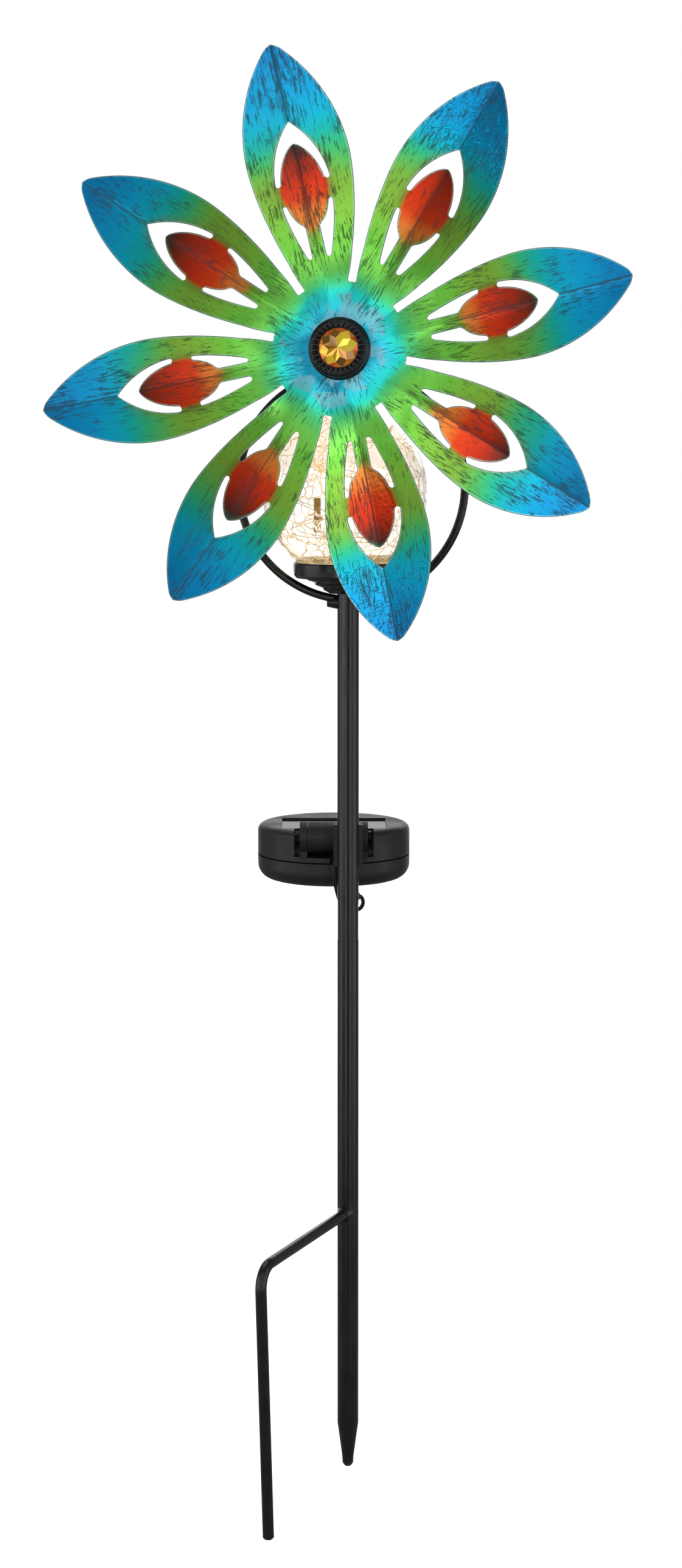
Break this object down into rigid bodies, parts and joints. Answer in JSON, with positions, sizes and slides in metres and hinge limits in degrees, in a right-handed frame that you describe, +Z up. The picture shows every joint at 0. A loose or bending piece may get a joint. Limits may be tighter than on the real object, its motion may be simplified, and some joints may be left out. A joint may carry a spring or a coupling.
{
  "type": "solar wind spinner",
  "caption": "Garden stake with a painted petal wheel that spins on a tilted axle over a lit crackle glass globe, with a tilting round solar head behind.",
  "frame": {"origin": "on the stake's axis at ground level, which is the centreline of the side prong's arm", "axes": "+Z up along the stake, the wheel faces -Y, +X to the right as seen from the front"},
  "size_m": [0.358, 0.2462, 0.923],
  "materials": {
    "black_coat": "satin black powder coat",
    "petal_paint": "translucent metallic paint, blue to green with red buds",
    "black_moulding": "fine matt mould texture",
    "hub_black": "semi-gloss black",
    "amber_stone": "faceted, foiled back",
    "crackle_glass": "clear crackle glass",
    "copper_wire": "lacquered copper",
    "lamp_resin": "clear resin over a warm white lamp",
    "zinc_steel": "zinc plated",
    "brass_turned": "turned",
    "black_rubber": "matt",
    "clear_silicone": "milky",
    "cell_silicon": "smooth silicon under film",
    "window_clear": "clear cast resin",
    "board_green": "solder mask",
    "battery_sleeve": "shrink sleeve"
  },
  "bodies": {
    "stake": {"upper_tube": "black_coat", "lower_tube": "black_coat", "side_prong": "black_coat", "prong_weld": "black_coat", "ring_frame": "black_coat", "ring_welds": "black_coat", "tube_plug": "zinc_steel", "cup_nipple": "brass_turned", "globe_cup": "black_coat", "cup_nut": "brass_turned", "cup_seal": "clear_silicone", "glass_globe": "crackle_glass", "led_wire": "copper_wire", "led_beads": "lamp_resin", "led_sleeve": "lamp_resin", "inner_lead": "black_rubber", "pole_grommet": "black_rubber", "axle_tube": "black_coat", "axle_weld": "black_coat", "spindle": "zinc_steel", "spacer_washer": "zinc_steel", "front_washer": "zinc_steel", "lock_nut": "zinc_steel", "pole_clip": "black_moulding", "solar_lead": "black_rubber"},
    "rotor": {"hub_bush": "brass_turned", "petal_wheel": "petal_paint", "hub_plate": "black_moulding", "hub_cap": "hub_black", "bezel_ring": "hub_black", "jewel": "amber_stone"},
    "solar_head": {"hinge_bolt": "zinc_steel", "hinge_nut": "zinc_steel", "top_shell": "black_moulding", "bottom_shell": "black_moulding", "shell_seal": "black_rubber", "solar_cell": "cell_silicon", "cell_window": "window_clear", "circuit_board": "board_green", "battery": "battery_sleeve", "battery_contacts": "zinc_steel", "battery_door": "black_moulding", "door_screw": "zinc_steel", "case_screws": "zinc_steel"},
    "switch": {"switch_slider": "black_moulding"}
  },
  "joints": [
    {"name": "wheel_spin", "type": "hinge", "parent": "stake", "child": "rotor", "pos_m": [0.002, -0.065, 0.56395], "axis": [0, -0.9971, 0.0767], "continuous": true},
    {"name": "panel_tilt", "type": "hinge", "parent": "stake", "child": "solar_head", "pos_m": [-0.0115, 0.01882, 0.248], "axis": [0.9936, 0.1132, 0], "range_deg": [-5, 60], "deforming": ["solar_lead"]},
    {"name": "power_switch", "type": "slide", "parent": "solar_head", "child": "switch", "axis": [0.9936, 0.1132, 0], "range_m": [0, 0.004]}
  ]
}
